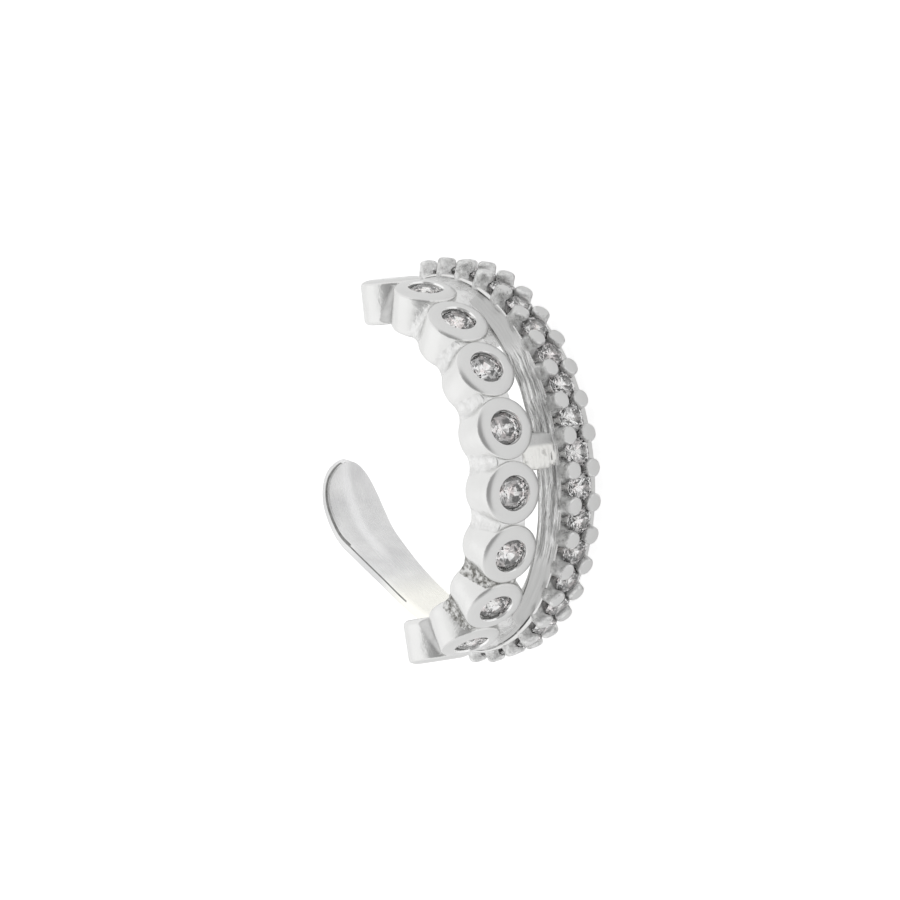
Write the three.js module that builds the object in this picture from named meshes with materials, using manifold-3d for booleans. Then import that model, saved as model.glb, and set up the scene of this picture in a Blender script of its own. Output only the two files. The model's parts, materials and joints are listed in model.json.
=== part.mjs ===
// Ear cuff: a C-shaped ring of white metal with a row of tube bezels, a row of
// prong-set stones beside it and a tongue that grips the back of the ear.
// Millimetres. The cuff lies on its side: its ring axis is Z, the prong row is
// at the bottom and the bezel row on top. The front of the C looks along -Y.
// Angles are degrees round the ring, from the front (-Y) towards +X. Heights
// are measured along the ring axis from the middle of the bezel row.
import * as THREE from "three";
import { ConvexGeometry } from "three/addons/geometries/ConvexGeometry.js";
import { mergeVertices } from "three/addons/utils/BufferGeometryUtils.js";
import Module from "manifold-3d";

const wasm = await Module();
wasm.setup();

// Fit between a stone and its seat, on each side.
const SEAT_CLEARANCE = 0.02;

// Row of tube bezels.
const BEZEL_COUNT = 10;
const BEZEL_ROW_MIDDLE = -1.1;
const BEZEL_DIAMETER = 2.02;
const BEZEL_SPACING = 0.07;
const BEZEL_FACE_RADIUS = 6.2;
const BEZEL_INNER_RADIUS = 4.75;
const BEZEL_RIM_CHAMFER = 0.07;
const BEZEL_SIDES = 14;

// Stones of the bezel row.
const BEZEL_STONE_DIAMETER = 1.12;
const BEZEL_TABLE_DEPTH = 0.01;
const BEZEL_HOLE_DIAMETER = 0.5;

// Webs that join neighbouring tubes. They stay below the tubes' faces and
// short of their inner ends.
const WEB_DEPTH = 0.22;
const WEB_INNER_STEP = 0.1;
const WEB_TOP = 0.8;
const WEB_BOTTOM = -0.5;

// Band under the prong row. It is thickest at the edge next to the bezels, and
// runs on a little past the last prongs.
const BAND_TOP = -1.65;
const BAND_WIDTH = 1.7;
const BAND_THICKNESS = 0.85;
const BAND_OVERRUN = 3.3;

// Prong pairs. The whole row leans away from the bezels.
const PRONG_PAIR_COUNT = 20;
const PRONG_ROW_MIDDLE = -1.35;
const PRONG_LEAN = 10.1;
const PRONG_TOP_RADIUS = 6.4;
const PRONG_OVER_EDGE = 0.4;
const PRONG_FOOT_SINK = 0.08;
const PRONG_TIP_DIAMETER = 0.56;
const PRONG_TIP_LENGTH = 0.16;
const PRONG_FOOT_LENGTH = 0.98;
const PRONG_FOOT_WIDTH = 0.62;
const PRONG_SPREAD = 0.816;
const PRONG_SIDES = 10;
const PRONG_SEAT_SIDES = 8;

// Stones of the prong row.
const PRONG_STONE_DIAMETER = 1.0;
const PRONG_STONE_SPACING = 0.097;
const PRONG_TABLE_DEPTH = 0.08;
const PRONG_HOLE_DIAMETER = 0.3;

// Joins between the two rows. At both ends of the C they start a little below
// the bezels' faces and go on lower; a short one crosses the slot in the middle.
const JOIN_TOP = -0.45;
const JOIN_OVERLAP = 0.1;
const JOIN_INNER_STEP = 0.2;
const JOIN_END_DEPTH = 0.15;
const JOIN_STEP_DEPTH = 0.4;
const JOIN_MIDDLE_DEPTH = 0.15;
const UPPER_JOIN_END = 38;
const UPPER_JOIN_STEP = 19;
const LOWER_JOIN_END = 24;
const LOWER_JOIN_STEP = 18;
const MIDDLE_JOIN_START = 6.4;
const MIDDLE_JOIN_LENGTH = 11.6;

// Tongue behind the lower end of the C. Its thickness lies outside its grip.
const TONGUE_REACH = 6.05;
const TONGUE_RISE = 5.3;
const TONGUE_WIDTH = 2.04;
const TONGUE_THICKNESS = 0.42;
const TONGUE_EDGE = 0.1;
const TONGUE_MIDDLE = -1.2;
const TONGUE_STATIONS = 24;

// The tongue's course, as shares of its reach behind the ring axis, of its
// rise from the bezel tubes' inner ends and of its full width.
const TONGUE_COURSE = [
  { reach: 0.02, rise: 0.0, width: 0.78 },
  { reach: 0.18, rise: 0.03, width: 0.78 },
  { reach: 0.34, rise: 0.12, width: 0.79 },
  { reach: 0.56, rise: 0.285, width: 0.81 },
  { reach: 0.78, rise: 0.47, width: 0.92 },
  { reach: 0.88, rise: 0.565, width: 0.99 },
  { reach: 0.945, rise: 0.68, width: 1.0 },
  { reach: 0.985, rise: 0.795, width: 0.94 },
  { reach: 1.0, rise: 0.9, width: 0.75 },
  { reach: 0.99, rise: 0.975, width: 0.4 },
  { reach: 0.985, rise: 1.0, width: 0.12 },
];

// Sides of a full turn of the ring.
const RING_SIDES = 54;

// Proportions of a round brilliant, as shares of its diameter. The star and
// lower-half corners lie at shares of its radius.
const BRILLIANT = {
  table: 0.56,
  crown: 0.15,
  girdle: 0.03,
  pavilion: 0.43,
  star: 0.78,
  lowerHalf: 0.24,
};

const metal = new THREE.MeshStandardMaterial({
  color: 0xd9dadb,
  roughness: 0.28,
  metalness: 1.0,
});
const bezelStone = new THREE.MeshStandardMaterial({
  color: 0xf4f4f6,
  roughness: 0.02,
  metalness: 0.0,
});
const prongStone = new THREE.MeshStandardMaterial({
  color: 0xf3eef0,
  roughness: 0.02,
  metalness: 0.0,
});

const bezelPitch = pitchAngle(BEZEL_DIAMETER + BEZEL_SPACING, BEZEL_FACE_RADIUS);
const bezelGirdleRadius = BEZEL_FACE_RADIUS - girdleDepth(BEZEL_TABLE_DEPTH, BEZEL_STONE_DIAMETER);
const prongGirdleDepth = girdleDepth(PRONG_TABLE_DEPTH, PRONG_STONE_DIAMETER);
const prongPitch = pitchAngle(
  PRONG_STONE_DIAMETER + PRONG_STONE_SPACING,
  PRONG_TOP_RADIUS - prongGirdleDepth,
);
const prongLean = THREE.MathUtils.degToRad(PRONG_LEAN);
const bandBottom = BAND_TOP - BAND_WIDTH;
const bandMiddle = BAND_TOP - BAND_WIDTH / 2;
const bandEdgeRadius = PRONG_TOP_RADIUS - PRONG_OVER_EDGE;
const bandInnerRadius = bandEdgeRadius - BAND_THICKNESS;
const bandMiddleRadius = bandEdgeRadius - (BAND_WIDTH / 2) * Math.tan(prongLean);
const bandStart = PRONG_ROW_MIDDLE + ((PRONG_PAIR_COUNT - 1) / 2) * prongPitch + BAND_OVERRUN;
const bandEnd = PRONG_ROW_MIDDLE - ((PRONG_PAIR_COUNT - 1) / 2) * prongPitch - BAND_OVERRUN;
const prongLength = (PRONG_TOP_RADIUS - bandMiddleRadius) * Math.cos(prongLean) + PRONG_FOOT_SINK;

// Angle between neighbours that stand a chord apart at a radius.
function pitchAngle(chord, radius) {
  return THREE.MathUtils.radToDeg(2 * Math.asin(chord / 2 / radius));
}

// Depth of a stone's girdle when its table lies at a depth.
function girdleDepth(tableDepth, diameter) {
  return tableDepth + diameter * BRILLIANT.crown;
}

// Angle of one member of a row, the first nearest the upper end of the C.
function rowAngle(index, count, pitch, middle) {
  return middle + ((count - 1) / 2 - index) * pitch;
}

// Merges a closed geometry's vertices and makes a solid of it.
function toSolid(geometry) {
  const plain = geometry.clone();
  plain.deleteAttribute("normal");
  plain.deleteAttribute("uv");
  const merged = mergeVertices(plain, 1e-5);
  const corners = merged.index.array;
  const triangles = [];
  for (let i = 0; i < corners.length; i += 3) {
    const [a, b, c] = [corners[i], corners[i + 1], corners[i + 2]];
    if (a !== b && b !== c && c !== a) {
      triangles.push(a, b, c);
    }
  }
  return new wasm.Manifold(new wasm.Mesh({
    numProp: 3,
    vertProperties: new Float32Array(merged.attributes.position.array),
    triVerts: new Uint32Array(triangles),
  }));
}

// A solid's surface as a three.js geometry.
function toGeometry(solid) {
  const surface = solid.getMesh();
  const geometry = new THREE.BufferGeometry();
  geometry.setAttribute("position", new THREE.BufferAttribute(surface.vertProperties, 3));
  geometry.setIndex(new THREE.BufferAttribute(surface.triVerts, 1));
  geometry.computeVertexNormals();
  return geometry;
}

// Turned shape round Y from a profile of [radius, height] pairs.
function turned(profile, sides) {
  const points = profile.map(([radius, height]) => new THREE.Vector2(radius, height));
  return new THREE.LatheGeometry(points, sides);
}

// Placement of a turned piece so that its Y axis points out of the ring at an
// angle, leaning down, with its own origin at a radius and a height.
function outward(angle, radius, height, lean = 0) {
  const turn = new THREE.Matrix4().makeRotationZ(THREE.MathUtils.degToRad(angle) + Math.PI);
  const shift = new THREE.Matrix4().makeTranslation(0, radius, height);
  const tilt = new THREE.Matrix4().makeRotationX(-lean);
  return turn.multiply(shift).multiply(tilt);
}

// Wedge of a disc between two angles, which cuts a ring down to an arc.
function wedge(from, to) {
  const reach = 2 * BEZEL_FACE_RADIUS;
  const start = THREE.MathUtils.degToRad(from) - Math.PI / 2;
  const end = THREE.MathUtils.degToRad(to) - Math.PI / 2;
  const shape = new THREE.Shape();
  shape.moveTo(0, 0);
  shape.lineTo(reach * Math.cos(start), reach * Math.sin(start));
  shape.absarc(0, 0, reach, start, end, false);
  const slab = new THREE.ExtrudeGeometry(shape, {
    depth: 2 * reach,
    bevelEnabled: false,
    curveSegments: 12,
  });
  slab.translate(0, 0, -reach);
  return toSolid(slab);
}

// Arc of a ring whose section is a closed list of [radius, height] pairs.
function ringArc(section, from, to) {
  const ring = turned([...section, section[0]], RING_SIDES);
  ring.rotateX(Math.PI / 2);
  return toSolid(ring).intersect(wedge(from, to));
}

// Arc of a ring with a rectangular section.
function plainArc(inner, outer, bottom, top, from, to) {
  return ringArc([[inner, bottom], [outer, bottom], [outer, top], [inner, top]], from, to);
}

// Round brilliant about Y, its girdle's upper edge in the plane y = 0.
function brilliant(diameter) {
  const radius = diameter / 2;
  const crown = diameter * BRILLIANT.crown;
  const girdle = diameter * BRILLIANT.girdle;
  const pavilion = diameter * BRILLIANT.pavilion;
  const eighth = Math.cos(Math.PI / 8);
  const starHeight = crown * (1 - BRILLIANT.star * eighth) / (1 - BRILLIANT.table);
  const halfDepth = pavilion * (1 - BRILLIANT.lowerHalf * eighth);
  const points = [new THREE.Vector3(0, -girdle - pavilion, 0)];
  const addRing = (count, offset, share, height) => {
    for (let i = 0; i < count; i += 1) {
      const angle = ((i + offset) / count) * 2 * Math.PI;
      const reach = radius * share;
      points.push(new THREE.Vector3(reach * Math.cos(angle), height, reach * Math.sin(angle)));
    }
  };
  addRing(8, 0.5, BRILLIANT.table, crown);
  addRing(8, 0, BRILLIANT.star, starHeight);
  addRing(16, 0, 1, 0);
  addRing(16, 0, 1, -girdle);
  addRing(8, 0, BRILLIANT.lowerHalf, -girdle - halfDepth);
  return new ConvexGeometry(points);
}

// Profile of a stone's seat below its girdle: a drilled hole through to the
// inside of the ring, then a cone that follows the pavilion.
function seatProfile(diameter, holeDiameter, holeDepth) {
  const radius = diameter / 2 + SEAT_CLEARANCE;
  const hole = holeDiameter / 2;
  const girdle = diameter * BRILLIANT.girdle + SEAT_CLEARANCE;
  const coneDepth = diameter * BRILLIANT.pavilion * (1 - hole / radius);
  return [
    [0, -holeDepth],
    [hole, -holeDepth],
    [hole, -girdle - coneDepth],
    [radius, -girdle],
  ];
}

// One tube of the bezel row about Y, its face in the plane y = 0.
function bezelTube() {
  const radius = BEZEL_DIAMETER / 2;
  const length = BEZEL_FACE_RADIUS - BEZEL_INNER_RADIUS;
  return turned([
    [0, -length],
    [radius, -length],
    [radius, -BEZEL_RIM_CHAMFER],
    [radius - BEZEL_RIM_CHAMFER, 0],
    [0, 0],
  ], BEZEL_SIDES);
}

// Cutter from a profile whose radii are kept by its flats.
function turnedCutter(profile, sides) {
  const flats = Math.cos(Math.PI / sides);
  return turned(profile.map(([radius, height]) => [radius / flats, height]), sides);
}

// What is cut from a tube for its stone, with the stone's origin.
function bezelSeat() {
  const radius = BEZEL_STONE_DIAMETER / 2 + SEAT_CLEARANCE;
  const open = BEZEL_FACE_RADIUS;
  return turnedCutter([
    ...seatProfile(BEZEL_STONE_DIAMETER, BEZEL_HOLE_DIAMETER, BEZEL_INNER_RADIUS),
    [radius, open],
    [0, open],
  ], BEZEL_SIDES);
}

// Oval section of a prong at a height, so long round the ring and so wide
// across the band.
function prongSection(height, length, width) {
  const corners = [];
  for (let i = 0; i < PRONG_SIDES; i += 1) {
    const angle = (i / PRONG_SIDES) * 2 * Math.PI;
    corners.push(new THREE.Vector3(
      (length / 2) * Math.cos(angle),
      height,
      (width / 2) * Math.sin(angle),
    ));
  }
  return corners;
}

// One prong about Y, its flat round tip in the plane y = 0.
function prong() {
  return skin([
    prongSection(0, PRONG_TIP_DIAMETER, PRONG_TIP_DIAMETER),
    prongSection(-PRONG_TIP_LENGTH, PRONG_TIP_DIAMETER, PRONG_TIP_DIAMETER),
    prongSection(-prongLength, PRONG_FOOT_LENGTH, PRONG_FOOT_WIDTH),
  ]);
}

// What is cut from the band and the prongs for a stone, with its origin. Its
// upper cone leaves the prong tips whole.
function prongSeat() {
  const crown = PRONG_STONE_DIAMETER * BRILLIANT.crown + SEAT_CLEARANCE;
  const table = (PRONG_STONE_DIAMETER / 2) * BRILLIANT.table + SEAT_CLEARANCE;
  const radius = PRONG_STONE_DIAMETER / 2 + SEAT_CLEARANCE;
  return turnedCutter([
    ...seatProfile(PRONG_STONE_DIAMETER, PRONG_HOLE_DIAMETER, bandInnerRadius / 2),
    [radius, SEAT_CLEARANCE],
    [table, crown],
    [0, crown],
  ], PRONG_SEAT_SIDES);
}

// Placements of the two rows' tubes, stones and prongs.
function bezelPlace(index, radius) {
  return outward(rowAngle(index, BEZEL_COUNT, bezelPitch, BEZEL_ROW_MIDDLE), radius, 0);
}

function prongRowPlace(index, count, depth, side) {
  const angle = rowAngle(index, count, prongPitch, PRONG_ROW_MIDDLE);
  const place = outward(angle, PRONG_TOP_RADIUS, bandMiddle, prongLean);
  const shift = new THREE.Matrix4().makeTranslation(0, -depth, side * PRONG_SPREAD / 2);
  return place.multiply(shift);
}

// Tubes with the webs between them.
function bezelRow() {
  const first = rowAngle(0, BEZEL_COUNT, bezelPitch, BEZEL_ROW_MIDDLE);
  const last = rowAngle(BEZEL_COUNT - 1, BEZEL_COUNT, bezelPitch, BEZEL_ROW_MIDDLE);
  const inner = BEZEL_INNER_RADIUS + WEB_INNER_STEP;
  const outer = BEZEL_FACE_RADIUS - WEB_DEPTH;
  let row = plainArc(inner, outer, WEB_BOTTOM, WEB_TOP, last, first);
  for (let i = 0; i < BEZEL_COUNT; i += 1) {
    row = row.add(toSolid(bezelTube().applyMatrix4(bezelPlace(i, BEZEL_FACE_RADIUS))));
  }
  return row;
}

// Band with its pairs of prongs.
function prongRow() {
  const outerAtBottom = bandEdgeRadius - BAND_WIDTH * Math.tan(prongLean);
  const band = ringArc([
    [bandInnerRadius, bandBottom],
    [outerAtBottom, bandBottom],
    [bandEdgeRadius, BAND_TOP],
    [bandInnerRadius, BAND_TOP],
  ], bandEnd, bandStart);
  let prongs = null;
  for (let i = 0; i < PRONG_PAIR_COUNT; i += 1) {
    for (const side of [-1, 1]) {
      const place = prongRowPlace(i, PRONG_PAIR_COUNT, 0, side);
      const one = toSolid(prong().applyMatrix4(place));
      prongs = prongs === null ? one : prongs.add(one);
    }
  }
  return band.add(prongs);
}

// Arcs of metal that tie the two rows together. The low ones run on under the
// high ones to the ends of the band.
function joins() {
  const high = BEZEL_FACE_RADIUS - JOIN_END_DEPTH;
  const low = bandEdgeRadius - JOIN_STEP_DEPTH;
  const middle = bandEdgeRadius - JOIN_MIDDLE_DEPTH;
  const upper = bandStart - UPPER_JOIN_END;
  const lower = bandEnd + LOWER_JOIN_END;
  const spans = [
    [high, upper, bandStart],
    [low, upper - UPPER_JOIN_STEP, bandStart],
    [middle, MIDDLE_JOIN_START - MIDDLE_JOIN_LENGTH, MIDDLE_JOIN_START],
    [low, bandEnd, lower + LOWER_JOIN_STEP],
    [high, bandEnd, lower],
  ];
  const arcs = spans.map(([outer, from, to]) => plainArc(
    bandInnerRadius - JOIN_INNER_STEP,
    outer,
    BAND_TOP - JOIN_OVERLAP,
    JOIN_TOP,
    from,
    to,
  ));
  return arcs.reduce((all, arc) => all.add(arc));
}

// Section of the tongue at one station: a rectangle with cut corners. Its
// thickness runs outward from the inner face.
function tongueSection(centre, normal, halfWidth) {
  const cut = Math.min(TONGUE_EDGE, halfWidth / 2);
  const far = TONGUE_THICKNESS;
  const corners = [
    [cut, -halfWidth],
    [far - cut, -halfWidth],
    [far, cut - halfWidth],
    [far, halfWidth - cut],
    [far - cut, halfWidth],
    [cut, halfWidth],
    [0, halfWidth - cut],
    [0, cut - halfWidth],
  ];
  return corners.map(([out, along]) => new THREE.Vector3(
    centre.x + normal.x * out,
    centre.y + normal.y * out,
    TONGUE_MIDDLE + along,
  ));
}

// Skin over a row of sections with equal numbers of corners, closed by flat
// ends.
function skin(sections) {
  const sides = sections[0].length;
  const points = sections.flat();
  const index = [];
  for (let s = 0; s + 1 < sections.length; s += 1) {
    for (let i = 0; i < sides; i += 1) {
      const a = s * sides + i;
      const b = s * sides + (i + 1) % sides;
      index.push(a, b, a + sides, b, b + sides, a + sides);
    }
  }
  const last = (sections.length - 1) * sides;
  for (let i = 1; i + 1 < sides; i += 1) {
    index.push(0, i + 1, i, last, last + i, last + i + 1);
  }
  const geometry = new THREE.BufferGeometry().setFromPoints(points);
  geometry.setIndex(index);
  return geometry;
}

// Tongue that runs back from the lower end of the C and up behind the ear.
function tongue() {
  const course = new THREE.CatmullRomCurve3(TONGUE_COURSE.map((row) => new THREE.Vector3(
    row.rise * TONGUE_RISE - BEZEL_INNER_RADIUS,
    row.reach * TONGUE_REACH,
    row.width * TONGUE_WIDTH / 2,
  )), false, "centripetal");
  const sections = [];
  for (let i = 0; i <= TONGUE_STATIONS; i += 1) {
    const share = i / TONGUE_STATIONS;
    const point = course.getPoint(share);
    const tangent = course.getTangent(share);
    const normal = new THREE.Vector2(-tangent.y, tangent.x).normalize();
    sections.push(tongueSection(point, normal, point.z));
  }
  return toSolid(skin(sections));
}

// All the metal, cast and soldered as one piece.
function castCuff() {
  let cuff = bezelRow().add(prongRow()).add(joins()).add(tongue());
  for (let i = 0; i < BEZEL_COUNT; i += 1) {
    cuff = cuff.subtract(toSolid(bezelSeat().applyMatrix4(bezelPlace(i, bezelGirdleRadius))));
  }
  for (let i = 0; i + 1 < PRONG_PAIR_COUNT; i += 1) {
    const place = prongRowPlace(i, PRONG_PAIR_COUNT - 1, prongGirdleDepth, 0);
    cuff = cuff.subtract(toSolid(prongSeat().applyMatrix4(place)));
  }
  return cuff;
}

// A named mesh, put in its place by a matrix.
function placedMesh(name, geometry, material, place) {
  const mesh = new THREE.Mesh(geometry, material);
  mesh.name = name;
  mesh.applyMatrix4(place);
  return mesh;
}

function numbered(stem, index) {
  return `${stem}_${String(index + 1).padStart(2, "0")}`;
}

// Sets the cuff down on the flat side of its band.
function setDown(group) {
  group.position.z = -bandBottom;
  group.updateMatrixWorld(true);
  const middle = new THREE.Box3().setFromObject(group, true).getCenter(new THREE.Vector3());
  group.position.x = -middle.x;
  group.position.y = -middle.y;
}

const cuff = new THREE.Group();
cuff.add(placedMesh("cast_cuff", toGeometry(castCuff()), metal, new THREE.Matrix4()));
for (let i = 0; i < BEZEL_COUNT; i += 1) {
  const place = bezelPlace(i, bezelGirdleRadius);
  cuff.add(placedMesh(numbered("bezel_stone", i), brilliant(BEZEL_STONE_DIAMETER), bezelStone, place));
}
for (let i = 0; i + 1 < PRONG_PAIR_COUNT; i += 1) {
  const place = prongRowPlace(i, PRONG_PAIR_COUNT - 1, prongGirdleDepth, 0);
  cuff.add(placedMesh(numbered("prong_stone", i), brilliant(PRONG_STONE_DIAMETER), prongStone, place));
}
setDown(cuff);

const earCuff = new THREE.Group();
earCuff.add(cuff);

export default earCuff;
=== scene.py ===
import json
import math

import bpy
import numpy as np
from mathutils import Matrix, Vector, noise


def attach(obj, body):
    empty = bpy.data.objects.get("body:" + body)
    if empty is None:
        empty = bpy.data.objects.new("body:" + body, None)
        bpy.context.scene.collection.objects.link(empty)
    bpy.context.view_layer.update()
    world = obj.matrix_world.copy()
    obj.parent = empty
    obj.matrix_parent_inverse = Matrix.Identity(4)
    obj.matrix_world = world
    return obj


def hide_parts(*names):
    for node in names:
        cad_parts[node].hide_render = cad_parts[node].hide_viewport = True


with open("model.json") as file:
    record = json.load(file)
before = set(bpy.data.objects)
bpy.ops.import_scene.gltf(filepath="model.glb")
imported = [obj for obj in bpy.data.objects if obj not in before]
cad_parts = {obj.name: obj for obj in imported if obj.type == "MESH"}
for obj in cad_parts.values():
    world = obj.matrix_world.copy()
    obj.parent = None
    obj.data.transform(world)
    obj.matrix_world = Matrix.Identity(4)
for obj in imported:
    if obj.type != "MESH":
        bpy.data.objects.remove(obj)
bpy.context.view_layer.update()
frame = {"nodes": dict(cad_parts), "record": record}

# Row of tube bezels
# Ten short tubes turned from white metal stand side by side round the front of the
# cuff, each with a flat satin face, a rolled rim and a burnished lip that holds its
# stone. They are cast in one with the rest.
tube_count = 10
tube_row_middle = -1.1
tube_diameter = 2.02
tube_spacing = 0.07
tube_face_radius = 6.2
tube_inner_radius = 4.75
tube_rim_width = 0.38
tube_rim_drop = 0.17
tube_rim_points = 13
tube_end_rounding = 0.18
tube_seat_radius = 0.58
tube_seat_depth = 0.235
tube_lip_radius = 0.545
tube_lip_back = 0.19
tube_lip_foot = 0.15
tube_lip_edge = 0.06
tube_lip_bevel = 0.03
tube_hole_radius = 0.25
tube_cone_depth = 0.27
tube_rubbed_depth = 0.12
tube_outline_gap = 0.24
tube_sides = 72
corner_steps = 6

# Sizes are in millimetres and angles in degrees from the front of the C towards its
# upper end. Radii start at the ring axis and heights at the middle of the tubes.
ring_centre = np.array(next(
    mount["pos_m"] for mount in frame["record"]["mounts"] if mount["name"] == "ear_grip"
)) * 1000


def ring_directions(angle, lean=0.0):
    """Outward, along-the-ring and across directions at an angle round the cuff."""
    turn, tip = math.radians(angle), math.radians(lean)
    radial = np.array((math.sin(turn), -math.cos(turn), 0))
    along = np.array((math.cos(turn), math.sin(turn), 0))
    up = np.array((0, 0, 1.0))
    outward = radial * math.cos(tip) - up * math.sin(tip)
    across = radial * math.sin(tip) + up * math.cos(tip)
    return outward, along, across


def ring_point(angle, radius, height):
    outward, along, across = ring_directions(angle)
    return ring_centre + outward * radius + across * height


def row_angles(count, pitch, middle):
    """Angles of a row's members, the first nearest the upper end of the C."""
    return [middle + ((count - 1) / 2 - i) * pitch for i in range(count)]


def chord_pitch(chord, radius):
    return math.degrees(2 * math.asin(chord / 2 / radius))


def eased(corners):
    """Closed outline through (x, y, rounding) corners, each with its own rounding."""
    outline = []
    for i, (x, y, rounding) in enumerate(corners):
        if rounding == 0:
            outline.append((x, y))
            continue
        here = np.array((x, y))
        back = np.array(corners[i - 1][:2]) - here
        on = np.array(corners[(i + 1) % len(corners)][:2]) - here
        back /= np.linalg.norm(back)
        on /= np.linalg.norm(on)
        half = math.acos(np.clip(back @ on, -1, 1)) / 2
        middle = (back + on) / np.linalg.norm(back + on)
        heart = here + middle * rounding / math.sin(half)
        start = here + back * rounding / math.tan(half) - heart
        end = here + on * rounding / math.tan(half) - heart
        sweep = math.pi - 2 * half
        for k in range(corner_steps + 1):
            share = k / corner_steps
            a = math.sin((1 - share) * sweep) / math.sin(sweep)
            b = math.sin(share * sweep) / math.sin(sweep)
            outline.append(tuple(heart + start * a + end * b))
    return outline


def spaced(outline, gap):
    """The same closed outline with points put in wherever two lie further apart than
    gap."""
    filled = []
    for i in range(len(outline)):
        a, b = np.array(outline[i]), np.array(outline[(i + 1) % len(outline)])
        parts = max(1, math.ceil(np.linalg.norm(b - a) / gap))
        filled += [tuple(a + (b - a) * k / parts) for k in range(parts)]
    return filled


def grid_faces(rows, columns, loop_rows=False):
    """Quads over rows of points, each row a closed ring of the same length, and a cap
    on the first and the last row unless they meet."""
    faces = []
    for i in range(rows if loop_rows else rows - 1):
        for j in range(columns):
            a, b = i * columns + j, i * columns + (j + 1) % columns
            shift = ((i + 1) % rows - i) * columns
            faces.append((a, a + shift, b + shift, b))
    if not loop_rows:
        faces.append(tuple(range(columns)))
        faces.append(tuple(reversed(range((rows - 1) * columns, rows * columns))))
    return faces


def new_object(name, points, faces, finishes):
    """An object in the scene from points in millimetres."""
    mesh = bpy.data.meshes.new(name)
    mesh.from_pydata((np.asarray(points) * 0.001).tolist(), [], faces)
    for finish in finishes:
        mesh.materials.append(finish)
    made = bpy.data.objects.new(name, mesh)
    bpy.context.scene.collection.objects.link(made)
    return made


def metal_piece(name, points, faces, finishes, which=None, lay=None, crisp=35):
    """A piece of the casting. which picks each face's finish, lay is a map in
    millimetres of the direction in which each point was worked, and crisp is the
    sharpest angle in degrees that still looks soft."""
    piece = new_object(name, points, faces, finishes)
    mesh = piece.data
    if which is not None:
        mesh.polygons.foreach_set("material_index", np.asarray(which, dtype=np.int32))
    if lay is not None:
        corners = np.zeros(len(mesh.loops), dtype=np.int32)
        mesh.loops.foreach_get("vertex_index", corners)
        worked = mesh.uv_layers.new(name="lay")
        worked.data.foreach_set("uv", np.asarray(lay)[corners].astype(np.float32).ravel())
    mesh.shade_smooth()
    mesh.set_sharp_from_angle(angle=math.radians(crisp))
    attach(piece, "root")
    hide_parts("cast_cuff")
    return piece


def new_group(name, inputs, outputs):
    """A shader group of numbers, with the usual value of each input."""
    group = bpy.data.node_groups.new(name, "ShaderNodeTree")
    for socket, value in inputs.items():
        made = group.interface.new_socket(socket, in_out="INPUT", socket_type="NodeSocketFloat")
        made.default_value = value
    for socket in outputs:
        group.interface.new_socket(socket, in_out="OUTPUT", socket_type="NodeSocketFloat")
    return group, group.nodes.new("NodeGroupInput"), group.nodes.new("NodeGroupOutput")


def put(tree, kind, settings=None, **sockets):
    """Adds a node. Sockets are set by name, an underscore for each space, or by number
    after an underscore, to a value or to the output that feeds them."""
    node = tree.nodes.new(kind)
    for setting, value in (settings or {}).items():
        setattr(node, setting, value)
    for socket, value in sockets.items():
        name = socket.replace("_", " ")
        found = node.inputs[int(name[1:])] if name[1:].isdigit() else node.inputs[name]
        if isinstance(value, bpy.types.NodeSocket):
            tree.links.new(value, found)
        else:
            found.default_value = value
    return node


def add_group(tree, group, **sockets):
    node = tree.nodes.new("ShaderNodeGroup")
    node.node_tree = group
    for socket, value in sockets.items():
        node.inputs[socket.replace("_", " ")].default_value = value
    return node


def reckoned(tree, operation, *values):
    """Output of a sum over values or outputs."""
    sockets = {f"_{i}": value for i, value in enumerate(values)}
    return put(tree, "ShaderNodeMath", {"operation": operation}, **sockets).outputs["Value"]


def ramp(tree, value, start, end, low=0.0, high=1.0, kind="LINEAR"):
    """Output that goes from low to high while a value goes from start to end."""
    node = put(tree, "ShaderNodeMapRange", {"interpolation_type": kind}, Value=value,
               From_Min=start, From_Max=end, To_Min=low, To_Max=high)
    return node.outputs["Result"]


def soft_ramp(tree, value, start, end, low=0.0, high=1.0):
    return ramp(tree, value, start, end, low, high, "SMOOTHSTEP")


def noise_over(tree, place, scale, detail, roughness=0.5):
    node = put(tree, "ShaderNodeTexNoise", Vector=place, Scale=scale, Detail=detail,
               Roughness=roughness)
    return node.outputs["Fac"]


def millimetres(tree):
    """A piece's own coordinates in millimetres."""
    place = put(tree, "ShaderNodeTexCoord").outputs["Object"]
    scaled = put(tree, "ShaderNodeVectorMath", {"operation": "SCALE"}, Vector=place,
                 Scale=1000.0)
    return scaled.outputs["Vector"]


def lay_of(tree):
    """A piece's lay, and its millimetres along and across the direction of work."""
    lay = put(tree, "ShaderNodeUVMap", {"uv_map": "lay"}).outputs["UV"]
    split = put(tree, "ShaderNodeSeparateXYZ", Vector=lay)
    return lay, split.outputs["X"], split.outputs["Y"]


def tone(tree, mask, low, high):
    """Colour that goes from low to high with a mask, each a colour or an output."""
    low, high = (
        colour if isinstance(colour, bpy.types.NodeSocket) else (*colour, 1)
        for colour in (low, high)
    )
    return put(tree, "ShaderNodeMix", {"data_type": "RGBA"}, _0=mask, _6=low, _7=high).outputs[2]


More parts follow.
